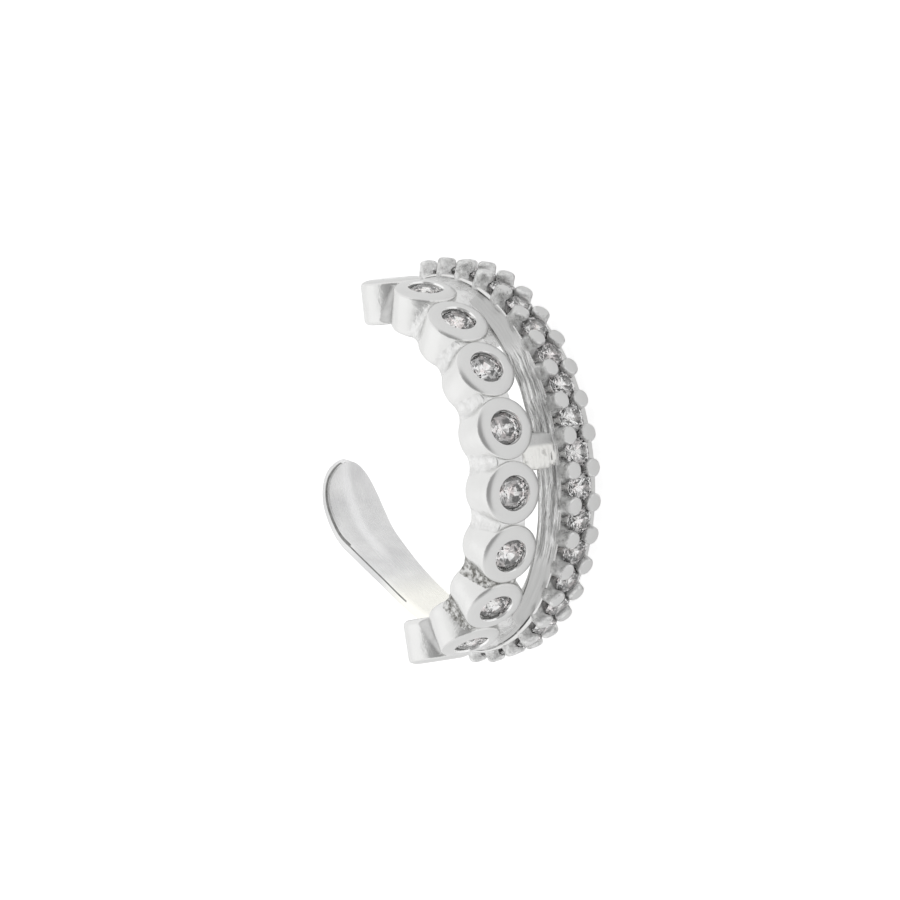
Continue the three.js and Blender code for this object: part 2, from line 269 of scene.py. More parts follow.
# The casting's skin: soft lumps and finer grain left by the mould.
cast_skin, feed, give = new_group(
    "Cast skin", {"Lumps per mm": 3.0, "Grain per mm": 22.0, "Grain share": 0.3},
    ["Height", "Pits"],
)
place = millimetres(cast_skin)
lumps = noise_over(cast_skin, place, feed.outputs["Lumps per mm"], 2.5, 0.55)
grain = noise_over(cast_skin, place, feed.outputs["Grain per mm"], 4.0, 0.65)
both = put(cast_skin, "ShaderNodeMix", {"data_type": "FLOAT"},
           Factor=feed.outputs["Grain share"], A=lumps, B=grain).outputs["Result"]
cast_skin.links.new(both, give.inputs["Height"])
cast_skin.links.new(ramp(cast_skin, both, 0.38, 0.6, 1.0, 0.0), give.inputs["Pits"])

# Fine lines left by the buffing wheel and the file, along the lay of each piece.
work_lines, feed, give = new_group(
    "Work lines", {"Along per mm": 0.6, "Across per mm": 14.0, "Waver": 0.4},
    ["Height", "Lines"],
)
lay, along, across = lay_of(work_lines)
sway = reckoned(work_lines, "MULTIPLY", noise_over(work_lines, lay, 1.4, 1.0),
                feed.outputs["Waver"])
along = reckoned(work_lines, "MULTIPLY", along, feed.outputs["Along per mm"])
across = reckoned(work_lines, "MULTIPLY", reckoned(work_lines, "ADD", across, sway),
                  feed.outputs["Across per mm"])
stretched = put(work_lines, "ShaderNodeCombineXYZ", X=along, Y=across, Z=0.0)
lines = noise_over(work_lines, stretched.outputs["Vector"], 1.0, 3.0, 0.6)
work_lines.links.new(lines, give.inputs["Height"])
work_lines.links.new(ramp(work_lines, lines, 0.36, 0.64), give.inputs["Lines"])

# Slow changes of tone, as where the plating and the polish vary.
slow_cloud, feed, give = new_group(
    "Slow cloud", {"Clouds per mm": 0.7, "Contrast": 0.5}, ["Cloud"],
)
clouds = noise_over(slow_cloud, millimetres(slow_cloud), feed.outputs["Clouds per mm"], 3.0)
centred = reckoned(slow_cloud, "SUBTRACT", clouds, 0.5)
spread = reckoned(slow_cloud, "MULTIPLY_ADD", centred, feed.outputs["Contrast"], 0.5)
slow_cloud.links.new(spread, give.inputs["Cloud"])


def new_finish(name):
    """A finish of white metal, its fixed value on the shader's own socket."""
    finish = bpy.data.materials.new(name)
    finish.use_nodes = True
    shader = finish.node_tree.nodes["Principled BSDF"]
    shader.inputs["Metallic"].default_value = 1.0
    return finish.node_tree, shader, finish


def colour_by(tree, shader, mask, low, high):
    tree.links.new(tone(tree, mask, low, high), shader.inputs["Base Color"])


def rough_by(tree, shader, height, low, high):
    tree.links.new(ramp(tree, height, 0.0, 1.0, low, high), shader.inputs["Roughness"])


def bump_by(tree, shader, height, metres, strength=1.0):
    bump = put(tree, "ShaderNodeBump", Strength=strength, Distance=metres, Height=height)
    tree.links.new(bump.outputs["Normal"], shader.inputs["Normal"])


def cast_finish(name, lumps, grain, grain_share, whole, pitted, rough, bump_metres=None,
                bump_strength=1.0, rough_on="Height"):
    """A finish over the casting's skin: its lumps and grain per mm, its colour where it
    is whole and where it is pitted, its range of roughness and its depth."""
    tree, shader, finish = new_finish(name)
    skin = add_group(tree, cast_skin, Lumps_per_mm=lumps, Grain_per_mm=grain,
                     Grain_share=grain_share)
    colour_by(tree, shader, skin.outputs["Pits"], whole, pitted)
    rough_by(tree, shader, skin.outputs[rough_on], *rough)
    if bump_metres is not None:
        bump_by(tree, shader, skin.outputs["Height"], bump_metres, bump_strength)
    return finish


# Buffed walls of the tubes, bright with soft lumps.
tree, shader, buffed_wall = new_finish("buffed_wall")
skin = add_group(tree, cast_skin, Lumps_per_mm=2.6, Grain_per_mm=16.0, Grain_share=0.22)
cloud = add_group(tree, slow_cloud, Clouds_per_mm=0.9, Contrast=0.8)
colour_by(tree, shader, cloud.outputs["Cloud"], (0.72, 0.72, 0.71), (0.84, 0.84, 0.835))
rough_by(tree, shader, skin.outputs["Height"], 0.12, 0.26)
bump_by(tree, shader, skin.outputs["Height"], 0.00003)

# Flat faces, rubbed to an even satin.
tree, shader, satin_face = new_finish("satin_face")
skin = add_group(tree, cast_skin, Lumps_per_mm=5.0, Grain_per_mm=60.0, Grain_share=0.6)
cloud = add_group(tree, slow_cloud, Clouds_per_mm=1.3, Contrast=0.6)
colour_by(tree, shader, cloud.outputs["Cloud"], (0.665, 0.665, 0.66), (0.715, 0.715, 0.71))
rough_by(tree, shader, skin.outputs["Height"], 0.24, 0.36)
bump_by(tree, shader, skin.outputs["Height"], 0.000004, strength=0.5)

# Seats that the cutter left bright.
cut_seat = cast_finish(
    "cut_seat", lumps=6.0, grain=40.0, grain_share=0.3,
    whole=(0.99, 0.99, 0.985), pitted=(0.9, 0.9, 0.895), rough=(0.1, 0.25),
)

tube_radius = tube_diameter / 2
tube_length = tube_face_radius - tube_inner_radius
tube_angles = row_angles(
    tube_count, chord_pitch(tube_diameter + tube_spacing, tube_face_radius), tube_row_middle
)
rolled_rim = [
    (tube_radius - tube_rim_width * (1 - math.sin(turn)), tube_rim_drop * (1 - math.cos(turn)), 0)
    for turn in np.linspace(0, math.pi / 2, tube_rim_points)
]
# Radius, depth below the face and rounding, from the hole inside the ring out over the
# seat, the lip and the face and down the wall.
tube_outline = eased([
    (tube_hole_radius, tube_length, 0.04),
    (tube_hole_radius, tube_seat_depth + tube_cone_depth, 0),
    (tube_seat_radius, tube_seat_depth, 0),
    (tube_seat_radius, tube_lip_back, 0),
    (tube_lip_radius, tube_lip_foot, 0),
    (tube_lip_radius, tube_lip_edge, 0.01),
    (tube_lip_radius + tube_lip_bevel, 0.0, 0.012),
    (tube_lip_radius + 2 * tube_lip_bevel, 0.0, 0),
    *rolled_rim,
    (tube_radius, tube_length, tube_end_rounding),
])
tube_outline = spaced(tube_outline, tube_outline_gap)

tube_finish_of = []
for (ra, da), (rb, db) in zip(tube_outline, tube_outline[1:] + tube_outline[:1]):
    rubbed = min(ra, rb) > tube_seat_radius and max(da, db) < tube_rubbed_depth
    cut = max(ra, rb) <= tube_seat_radius and max(da, db) < tube_length
    tube_finish_of += [1 if rubbed else 2 if cut else 0] * tube_sides
tube_faces = grid_faces(len(tube_outline), tube_sides, loop_rows=True)

for number, angle in enumerate(tube_angles, 1):
    outward, along, across = ring_directions(angle)
    face = ring_centre + outward * tube_face_radius
    points, lay = [], []
    for radius, depth in tube_outline:
        for side in range(tube_sides):
            turn = side / tube_sides * 2 * math.pi
            spoke = along * math.cos(turn) + across * math.sin(turn)
            points.append(face - outward * depth + spoke * radius)
            lay.append((radius * turn, depth))
    metal_piece(f"tube_bezel_{number:02d}", points, tube_faces,
                [buffed_wall, satin_face, cut_seat], tube_finish_of, lay)

# Webs between the tubes
# Each pair of tubes is joined by a web of the same casting, a soft valley a little lower
# than the faces and walls beside it. The wheel has smoothed most of them, two near the
# lower end keep the mould's dark nuggets, and the outermost two are dull and painted darker as
# shade.
web_depth = 0.14
web_inner_step = 0.1
web_top = 0.77
web_bottom = -0.5
web_half_width = 6.4
web_fillet_inside = 0.4
web_fillet_outside = 0.19
web_tuck = 0.008
web_lumps = [0.004, 0.02, 0.014, 0.006, 0.008, 0.006, 0.022, 0.045, 0.004]
web_lump_size = 0.15
web_lumps_fade = (0.6, 1.05)
web_station = 0.3
web_outline_gap = 0.045
web_edges = eased([
    (tube_face_radius - web_depth, web_bottom, 0.05),
    (tube_face_radius - web_depth, web_top, 0.04),
    (tube_inner_radius + web_inner_step, web_top, 0.1),
    (tube_inner_radius + web_inner_step, web_bottom, 0.05),
])
web_edges = spaced(web_edges, web_outline_gap)


def outline_normals(outline):
    """Unit normals of a closed outline, pointing away from its middle."""
    ring = np.array(outline)
    tangent = np.roll(ring, -1, axis=0) - np.roll(ring, 1, axis=0)
    normal = np.stack((tangent[:, 1], -tangent[:, 0]), axis=1)
    normal /= np.linalg.norm(normal, axis=1)[:, None]
    if np.sum(normal * (ring - ring.mean(axis=0))) < 0:
        normal = -normal
    return normal


def stations_between(low, high, gap):
    """Angles from low to high, with a little over so that rounding keeps the last."""
    return np.arange(low, high + 0.01, gap)


def mould_lumps(point, size):
    """Height from about -1 to 1 of a coarse cast surface with lumps of a size in mm."""
    at = Vector(point) / size
    soft = noise.noise(at)
    ridged = 1 - 2 * abs(noise.noise(at * 1.9 + Vector((7.3, 1.1, 4.9))))
    return 0.6 * soft + 0.55 * ridged - 0.2


def gentle(low, high, value):
    """Share from 0 to 1, flat at both ends, that a value has gone from low to high."""
    share = min(1, max(0, (value - low) / (high - low)))
    return share * share * (3 - 2 * share)


def valley_reach(radius):
    """Half the width of the fillet between two tubes at a radius."""
    share = (radius - tube_inner_radius) / tube_length
    return web_fillet_inside + (web_fillet_outside - web_fillet_inside) * share


def valley_top(aside, half_chord, radius):
    """Height of a web's top beside the valley's line, in a fillet that runs out
    tangent to the tube wall."""
    reach = valley_reach(radius)
    wall = math.sqrt(max(0, tube_radius ** 2 - (half_chord - max(aside, reach)) ** 2))
    if aside >= reach:
        return wall - web_tuck
    curve = (half_chord - reach) / (2 * reach * wall)
    return wall - curve * (reach ** 2 - aside ** 2)


# Webs that the wheel has reached, with soft lumps.
wheeled_web = cast_finish(
    "wheeled_web", lumps=4.5, grain=20.0, grain_share=0.25,
    whole=(0.81, 0.81, 0.805), pitted=(0.70, 0.70, 0.695), rough=(0.15, 0.3),
    bump_metres=0.00004,
)

# Hollows that no tool reached: grey, pitted and dull.
as_cast = cast_finish(
    "as_cast", lumps=7.0, grain=24.0, grain_share=0.12,
    whole=(0.66, 0.66, 0.65), pitted=(0.2, 0.195, 0.18), rough=(0.2, 0.5),
    bump_metres=0.00006, rough_on="Pits",
)

# The outermost webs, smooth but dull, their darker colour painted shade.
dull_shaded_web = cast_finish(
    "dull_shaded_web", lumps=3.0, grain=20.0, grain_share=0.3,
    whole=(0.58, 0.58, 0.575), pitted=(0.48, 0.48, 0.475), rough=(0.25, 0.4),
    bump_metres=0.00003, bump_strength=0.6,
)

web_finish = {1: dull_shaded_web, 7: as_cast, 8: as_cast, 9: dull_shaded_web}
web_normals = outline_normals(web_edges)
for number, (first, second) in enumerate(zip(tube_angles, tube_angles[1:]), 1):
    middle = (first + second) / 2
    half_turn = math.radians(first - second) / 2
    stations = stations_between(middle - web_half_width, middle + web_half_width, web_station)
    points, lay = [], []
    for angle in stations:
        outward, along, across = ring_directions(angle)
        turn = abs(math.radians(angle - middle))
        for (radius, height), normal in zip(web_edges, web_normals):
            top = valley_top(turn * radius, half_turn * radius, radius)
            share = (height - web_bottom) / (web_top - web_bottom)
            level = web_bottom + (top - web_bottom) * share
            point = ring_centre + outward * radius + across * level
            fade = 1 - gentle(*web_lumps_fade, turn * radius / valley_reach(radius))
            out = web_lumps[number - 1] * fade * mould_lumps(point, web_lump_size)
            points.append(point + (outward * normal[0] + across * normal[1]) * out)
            lay.append((radius * turn, height))
    metal_piece(f"web_{number:02d}", points, grid_faces(len(stations), len(web_edges)),
                [web_finish.get(number, wheeled_web)], lay=lay, crisp=60)

# Band
# A flat strip of the casting that carries the prong row. Its outer face leans away from
# the bezels, and a rib with long file marks and a fine lip runs along its edge towards
# them. A hole is drilled under each stone, with a cone for the stone above it.
band_top = -1.65
band_width = 1.7
band_thickness = 0.85
band_rib_rise = 0.55
band_rib_lean = 0.13
band_rib_width = 0.26
band_rib_fall = 0.03
band_rib_sinks = (58, 66)
band_rib_sunk = 0.9
band_lip_out = 0.1
band_lip_drop = 0.14
band_lip_ledge = 0.05
band_lip_thickness = 0.02
band_lip_foot = 0.05
band_bead_height = 0.07
band_bead_reach = 0.04
band_bead_grows = (46, 62)
band_marks_height = 0.02
band_marks_radius = 5.6
band_marks_along = 0.9
band_marks_across = 9.0
band_marks_slice = 3.7
band_marks_fade = (27, 39)
band_marks_lost = 0.85
band_streaks_fade = (2.9, 4.2)
band_streaks_left = 0.05
band_lump_height = 0.004
band_lump_size = 0.5
band_inner_corner = 0.1
band_overrun = 3.3
band_stations = 400
band_outline_gap = 0.035
band_crisp = 40
prong_pairs = 20
prong_row_middle = -1.35
prong_lean = 10.1
prong_top_radius = 6.4
prong_over_edge = 0.4
prong_stone_diameter = 1.0
prong_stone_spacing = 0.097
prong_stone_table_depth = 0.08
stone_crown = 0.15
stone_girdle = 0.03
stone_pavilion = 0.43
stone_table = 0.56
seat_clearance = 0.02
drill_radius = 0.15
drill_sides = 40

lean_slope = math.tan(math.radians(prong_lean))
band_edge_radius = prong_top_radius - prong_over_edge
band_inner_radius = band_edge_radius - band_thickness
band_bottom = band_top - band_width
band_middle = band_top - band_width / 2
girdle_depth = prong_stone_table_depth + prong_stone_diameter * stone_crown
prong_pitch = chord_pitch(
    prong_stone_diameter + prong_stone_spacing, prong_top_radius - girdle_depth
)
prong_angles = row_angles(prong_pairs, prong_pitch, prong_row_middle)
stone_angles = row_angles(prong_pairs - 1, prong_pitch, prong_row_middle)
band_start = prong_angles[0] + band_overrun
band_end = prong_angles[-1] - band_overrun

# Filed rib with long streaks over its middle, running out towards both ends.
tree, shader, filed_wall = new_finish("filed_wall")
streaks = add_group(tree, work_lines, Along_per_mm=0.4, Across_per_mm=8.0, Waver=0.15)
from_front = reckoned(tree, "ABSOLUTE", lay_of(tree)[1])
marked = soft_ramp(tree, from_front, *band_streaks_fade, 1.0, band_streaks_left)
in_middle = tone(tree, streaks.outputs["Lines"], (1.0, 1.0, 0.995), (0.44, 0.44, 0.435))
at_ends = tone(tree, streaks.outputs["Height"], (0.56, 0.56, 0.555), (0.49, 0.49, 0.485))
colour_by(tree, shader, marked, at_ends, in_middle)
rough_by(tree, shader, streaks.outputs["Height"], 0.12, 0.34)
bump_by(tree, shader, reckoned(tree, "MULTIPLY", streaks.outputs["Height"], marked), 0.0002)


def swept(edges, angles, lift, level):
    """Points and lay of a section swept round the ring. lift gives how far a point is
    moved out of the surface, from its angle, radius, height and place, and level gives
    its height where the section changes along the ring."""
    normals = outline_normals(edges)
    points, lay = [], []
    walked = np.concatenate(([0], np.cumsum(np.linalg.norm(np.diff(edges, axis=0), axis=1))))
    for angle in angles:
        outward, along, across = ring_directions(angle)
        for (radius, height), normal, walk in zip(edges, normals, walked):
            point = ring_centre + outward * radius + across * level(angle, height)
            out = lift(angle, radius, height, point)
            points.append(point + (outward * normal[0] + across * normal[1]) * out)
            lay.append((math.radians(angle) * tube_face_radius, walk))
    return points, lay


def file_marks(angle, across):
    """Height of the file marks on the rib, long round the ring and fading towards its
    ends."""
    round_ring = math.radians(angle) * band_marks_radius
    at = Vector((round_ring * band_marks_along, across * band_marks_across, band_marks_slice))
    fade = 1 - band_marks_lost * gentle(*band_marks_fade, abs(angle))
    return fade * (noise.noise(at) + 0.5 * noise.noise(at * 2.3))


def cut_away(piece, drills, crisp):
    """Cuts the drills out of a piece and keeps the result as its mesh."""
    cut = piece.modifiers.new("seats", "BOOLEAN")
    cut.operation = "DIFFERENCE"
    cut.solver = "EXACT"
    cut.object = drills
    seen = bpy.context.evaluated_depsgraph_get()
    result = bpy.data.meshes.new_from_object(piece.evaluated_get(seen))
    piece.modifiers.remove(cut)
    piece.data = result
    result.shade_smooth()
    result.set_sharp_from_angle(angle=math.radians(crisp))


# The drills for the row of stones, from radius and depth below the stone's girdle.
stone_radius = prong_stone_diameter / 2
seat_radius = stone_radius + seat_clearance
crown_height = prong_stone_diameter * stone_crown + seat_clearance
below_girdle = prong_stone_diameter * stone_girdle + seat_clearance
cone_depth = prong_stone_diameter * stone_pavilion * (1 - drill_radius / seat_radius)
drill_outline = [
    (stone_radius * stone_table + seat_clearance, -crown_height),
    (seat_radius, -seat_clearance),
    (seat_radius, below_girdle),
    (drill_radius, below_girdle + cone_depth),
    (drill_radius, band_inner_radius / 2),
]
points, faces = [], []
for angle in stone_angles:
    outward, along, across = ring_directions(angle, prong_lean)
    heart = ring_point(angle, prong_top_radius, band_middle) - outward * girdle_depth
    base = len(points)
    for radius, below in drill_outline:
        for side in range(drill_sides):
            turn = side / drill_sides * 2 * math.pi
            spoke = along * math.cos(turn) + across * math.sin(turn)
            points.append(heart - outward * below + spoke * radius)
    made = grid_faces(len(drill_outline), drill_sides)
    faces += [tuple(base + i for i in face) for face in made]
prong_drills = new_object("prong_row_drills", points, faces, [buffed_wall])

# Radius, height and rounding of the band's section.
outer_at_bottom = band_edge_radius - band_width * lean_slope
band_edges = eased([
    (outer_at_bottom, band_bottom, 0.05),
    (band_edge_radius - band_lip_foot, band_top - 2 * band_lip_drop, 0.04),
    (band_edge_radius + band_lip_out, band_top - band_lip_drop, 0.02),
    (band_edge_radius + band_lip_out - band_lip_ledge,
     band_top - band_lip_drop + band_lip_thickness, 0.01),
    (band_edge_radius + band_lip_ledge - band_rib_lean, band_top + band_rib_rise, 0.05),
    (band_edge_radius - band_rib_width, band_top + band_rib_rise - band_rib_fall, 0.05),
    (band_edge_radius - band_rib_width, band_top, 0.04),
    (band_inner_radius, band_top, 0.05),
    (band_inner_radius, band_bottom, 0.05),
])
band_edges = spaced(band_edges, band_outline_gap)
stations = np.linspace(band_end, band_start, band_stations)


def band_lift(angle, radius, height, point):
    """File marks on the rib, and beside the joins a fine bead along the lip."""
    from_lip = abs(height - band_top + band_lip_drop)
    if from_lip < band_bead_reach and radius > band_edge_radius:
        return band_bead_height * gentle(*band_bead_grows, abs(angle))
    if height > band_top - band_lip_drop:
        return band_marks_height * file_marks(angle, radius - height)
    return band_lump_height * mould_lumps(point, band_lump_size)


def rib_level(angle, height):
    """The rib sinks away where the joins take over."""
    low = 1 - band_rib_sunk * gentle(*band_rib_sinks, abs(angle))
    return height if height < band_top else band_top + (height - band_top) * low


points, lay = swept(band_edges, stations, band_lift, rib_level)
finish_across = []
for radius, height in band_edges:
    above_lip = height > band_top - band_lip_drop
    filed = band_inner_radius + band_inner_corner < radius <= band_edge_radius + band_lip_ledge
    finish_across.append(0 if above_lip and filed else 1)
finish_of = finish_across * (len(stations) - 1) + [1, 1]
band = metal_piece("prong_band", points, grid_faces(len(stations), len(band_edges)),
                   [filed_wall, buffed_wall], finish_of, lay, band_crisp)
cut_away(band, prong_drills, band_crisp)

# Prongs
# Twenty pairs of prongs stand on the band, each with an oval foot and a flat round tip
# with a soft rim, softer near the ends. A pair is shared by the stones on both sides of
# it, which sit in notches cut in the prongs.
prong_tip_diameter = 0.6
prong_tip_length = 0.16
prong_tip_rounding = 0.055
prong_rim_steps = 5
prong_foot_length = 0.98
prong_foot_width = 0.62
prong_foot_sink = 0.08
prong_foot_steps = 10
prong_flare = 1.35
prong_spread = 0.816
prong_end_growth = 0.16
prong_growth_range = (40, 75)
prong_end_softness = 1.4
prong_softness_range = (35, 60)
prong_sides = 28
prong_crisp = 40
prong_length = (
    prong_over_edge + band_width / 2 * lean_slope
) * math.cos(math.radians(prong_lean)) + prong_foot_sink

# Depth below the tip, share of the way from the tip's section to the foot's, and how
# far the rim is let out.
prong_course = [(0.0, 0.0, -prong_tip_rounding)]
for step in range(1, prong_rim_steps + 1):
    turn = step / prong_rim_steps * math.pi / 2
    prong_course.append((
        prong_tip_rounding * (1 - math.cos(turn)), 0.0,
        prong_tip_rounding * (math.sin(turn) - 1),
    ))
for step in range(1, prong_foot_steps + 1):
    share = step / prong_foot_steps
    depth = prong_tip_length + (prong_length - prong_tip_length) * share
    prong_course.append((depth, share ** prong_flare, 0.0))

# Soft rubbed sides of the prongs.
rubbed_prong = cast_finish(
    "rubbed_prong", lumps=5.0, grain=26.0, grain_share=0.3,
    whole=(0.88, 0.88, 0.875), pitted=(0.52, 0.52, 0.515), rough=(0.2, 0.38),
    bump_metres=0.00008,
)

points, faces, lay, which = [], [], [], []
for angle in prong_angles:
    outward, along, across = ring_directions(angle, prong_lean)
    longer = prong_end_growth * gentle(*prong_growth_range, angle)
    soft = 1 + prong_end_softness * gentle(*prong_softness_range, abs(angle))
    heart = ring_point(angle, prong_top_radius + longer, band_middle)
    for side in (-1, 1):
        tip = heart + across * side * prong_spread / 2
        base = len(points)
        for depth, share, inset in prong_course:
            depth *= soft if share == 0 else 1 + longer / prong_length
            inset *= soft
            long = prong_tip_diameter + (prong_foot_length - prong_tip_diameter) * share
            wide = prong_tip_diameter + (prong_foot_width - prong_tip_diameter) * share
            for k in range(prong_sides):
                turn = k / prong_sides * 2 * math.pi
                points.append(
                    tip - outward * depth
                    + along * math.cos(turn) * (long / 2 + inset)
                    + across * math.sin(turn) * (wide / 2 + inset)
                )
                lay.append((depth, turn * prong_tip_diameter / 2))
        made = grid_faces(len(prong_course), prong_sides)
        faces += [tuple(base + i for i in face) for face in made]
        which += [0] * (len(made) - 2) + [1, 0]
prongs = metal_piece("prong_pairs", points, faces, [rubbed_prong, satin_face], which, lay,
                     prong_crisp)
cut_away(prongs, prong_drills, prong_crisp)
bpy.data.objects.remove(prong_drills)

# Joins at the two ends of the C and the bridge in the middle
# Cast strips tie the band to the bezel row: a long smooth one at each end, which steps
# down before the slot begins, and a short ribbed bridge across the middle of the slot.
join_top = -0.45
join_overlap = 0.1
join_station = 0.2
join_side_parts = 16
join_inner_step = 0.2
join_end_depth = 0.15
join_step_depth = 0.08
join_ease = 3
join_tail_drop = 0.1
poured_lump_height = 0.01
poured_lump_size = 0.35
upper_join_end = 38
upper_join_step = 16
lower_join_end = 24
lower_join_step = 18
bridge_start = 6.4
bridge_length = 11.6
bridge_proud = 0.03
bridge_end_drop = 0.14
bridge_end_turn = 1.6
bridge_shade_range = (0.16, 0.3)
bridge_lump_height = 0.008
bridge_lump_size = 0.3
rib_pitch = 0.11
rib_height = 0.018
rib_sway = 2
rib_sways_per_mm = 3
ribs_fade = (2.6, 0.6)

join_high = tube_face_radius - join_end_depth
join_low = band_edge_radius - join_step_depth
join_inner = band_inner_radius - join_inner_step

# Poured skin of the joins, smoother than the webs.
poured_skin = cast_finish(
    "poured_skin", lumps=3.2, grain=18.0, grain_share=0.35,
    whole=(0.82, 0.82, 0.815), pitted=(0.68, 0.68, 0.675), rough=(0.18, 0.38),
    bump_metres=0.00004,
)


def split_sides(outline, parts):
    """The outline with the sides between its rounded corners split into parts, the
    same number at every station."""
    ring = []
    for i in range(len(outline)):
        a, b = np.array(outline[i]), np.array(outline[(i + 1) % len(outline)])
        count = parts if i % (corner_steps + 1) == corner_steps else 1
        ring += [a + (b - a) * k / count for k in range(count)]
    return ring


def join_piece(name, start, end, outer_at, finish, lift):
    """A strip round the ring whose outer radius follows the angle."""
    stations = stations_between(start, end, join_station)
    points, lay = [], []
    for angle in stations:
        outer = outer_at(angle)
        ring = split_sides(eased([
            (outer, band_top - join_overlap, 0.05),
            (outer, join_top, 0.12),
            (join_inner, join_top, 0.05),
            (join_inner, band_top - join_overlap, 0.05),
        ]), join_side_parts)
        outward, along, across = ring_directions(angle)
        for (radius, height), normal in zip(ring, outline_normals(ring)):
            point = ring_centre + outward * radius + across * height
            out = lift(angle, radius, height, point)
            points.append(point + (outward * normal[0] + across * normal[1]) * out)
            lay.append((math.radians(angle) * outer, height))
    metal_piece(name, points, grid_faces(len(stations), len(ring)), [finish], lay=lay, crisp=50)


def join_outer(inward, end, step):
    """A join's outer radius at so many degrees from the end of the C: high beside the
    last tube, stepping down, with a tail that dips under the rib."""
    level = gentle(end + join_ease, end - join_ease, inward)
    tail = gentle(end + step, end + step - 2 * join_ease, inward)
    return join_low - join_tail_drop * (1 - tail) + (join_high - join_low) * level


def upper_outer(angle):
    return join_outer(band_start - angle, upper_join_end, upper_join_step)


def lower_outer(angle):
    return join_outer(angle - band_end, lower_join_end, lower_join_step)


def poured_lift(angle, radius, height, point):
    return poured_lump_height * mould_lumps(point, poured_lump_size)


join_piece("upper_join", band_start - upper_join_end - upper_join_step, band_start,
           upper_outer, poured_skin, poured_lift)
join_piece("lower_join", band_end, band_end + lower_join_end + lower_join_step,
           lower_outer, poured_skin, poured_lift)


def bridge_outer(angle):
    """The bridge's outer radius, eased down at both of its ends."""
    from_end = min(bridge_start - angle, angle - bridge_start + bridge_length)
    short = 1 - min(1, max(0, from_end / bridge_end_turn))
    drop = bridge_end_drop * (1 - math.sqrt(1 - short ** 2))
    return band_edge_radius + bridge_proud - drop


def ribbed_lift(angle, radius, height, point):
    sway = rib_sway * noise.noise(Vector(point) * rib_sways_per_mm)
    rib = gentle(*ribs_fade, angle) * rib_height * math.sin(
        2 * math.pi * height / rib_pitch + sway)
    return rib + bridge_lump_height * mould_lumps(point, bridge_lump_size)


# The bridge's lower half is bright and finely ribbed, its upper half smooth, with
# painted shade making it grey.
tree, shader, ribbed_skin = new_finish("ribbed_skin")
skin = add_group(tree, cast_skin, Lumps_per_mm=4.0, Grain_per_mm=22.0, Grain_share=0.3)
shaded_top = soft_ramp(tree, lay_of(tree)[1], *bridge_shade_range)
colour_by(tree, shader, shaded_top, (0.87, 0.865, 0.84), (0.54, 0.54, 0.535))
rough_by(tree, shader, skin.outputs["Height"], 0.2, 0.4)
bump_by(tree, shader, skin.outputs["Height"], 0.00004)

join_piece("middle_bridge", bridge_start - bridge_length, bridge_start, bridge_outer,
           ribbed_skin, ribbed_lift)

# Tongue
# A strip of sheet soldered behind the lower end of the C. It runs back and up behind the
# ear, widens to a rounded paddle and is brushed along its length, with broken edges.
tongue_reach = 6.05
tongue_rise = 5.3
tongue_width = 2.04
tongue_thickness = 0.42
tongue_edge = 0.1
tongue_middle = -1.2
tongue_stations = 170
tongue_side_parts = 6
# The painted highlight streak up the paddle, then the fade of the painted light at the low end.
tongue_streak_starts = (3.6, 5.6)
tongue_streak_aside = 0.12
tongue_streak_edge = (0.04, 0.3)
tongue_streak_share = 0.75
tongue_painted_light_fade = (1.9, 3.9)
# The line of painted shade under the upper edge: its columns round the section, and
# its shares of the length.
tongue_line_thin = (5, 6)
tongue_line_wide = (3, 4, 5, 6)
tongue_line_start = 0.2
tongue_line_widens = 0.42
tongue_line_end = 0.97
# Shares of the reach, the rise and the full width along the tongue's course.
tongue_course = [
    (0.02, 0.0, 0.78), (0.18, 0.03, 0.78), (0.34, 0.12, 0.79), (0.56, 0.285, 0.81),
    (0.78, 0.47, 0.92), (0.88, 0.565, 0.99), (0.945, 0.68, 1.0), (0.985, 0.795, 0.94),
    (1.0, 0.9, 0.75), (0.99, 0.975, 0.4), (0.985, 1.0, 0.12),
]

# Brushed sheet with a cloudy tone, straight fine lines along the tongue, a painted
# highlight streak up the paddle and a pale warm flush of painted light towards the soldered end.
tree, shader, brushed_sheet = new_finish("brushed_sheet")
brushing = add_group(tree, work_lines, Along_per_mm=0.35, Across_per_mm=26.0, Waver=0.15)
cloud = add_group(tree, slow_cloud, Clouds_per_mm=1.1, Contrast=1.8)
clouded = tone(tree, cloud.outputs["Cloud"], (0.64, 0.64, 0.645), (0.84, 0.84, 0.835))
lay, along, aside = lay_of(tree)
up_paddle = soft_ramp(tree, along, *tongue_streak_starts)
off_streak = reckoned(tree, "ABSOLUTE", reckoned(tree, "SUBTRACT", aside, tongue_streak_aside))
in_streak = soft_ramp(tree, off_streak, *tongue_streak_edge, tongue_streak_share, 0.0)
painted_sheen = reckoned(tree, "MULTIPLY", in_streak, up_paddle)
painted_low_light = soft_ramp(tree, along, *tongue_painted_light_fade, 1.0, 0.0)
lighter = tone(tree, painted_sheen, clouded, (0.88, 0.88, 0.885))
colour_by(tree, shader, painted_low_light, lighter, (1.0, 0.99, 0.93))
rough_by(tree, shader, brushing.outputs["Height"], 0.2, 0.36)
bump_by(tree, shader, brushing.outputs["Height"], 0.000006, strength=0.6)

# A thin dark line under the tongue's upper edge, painted shade along its rounding.
painted_edge_shade = cast_finish(
    "painted_edge_shade", lumps=4.0, grain=30.0, grain_share=0.5,
    whole=(0.3, 0.3, 0.295), pitted=(0.14, 0.14, 0.135), rough=(0.3, 0.5),
)


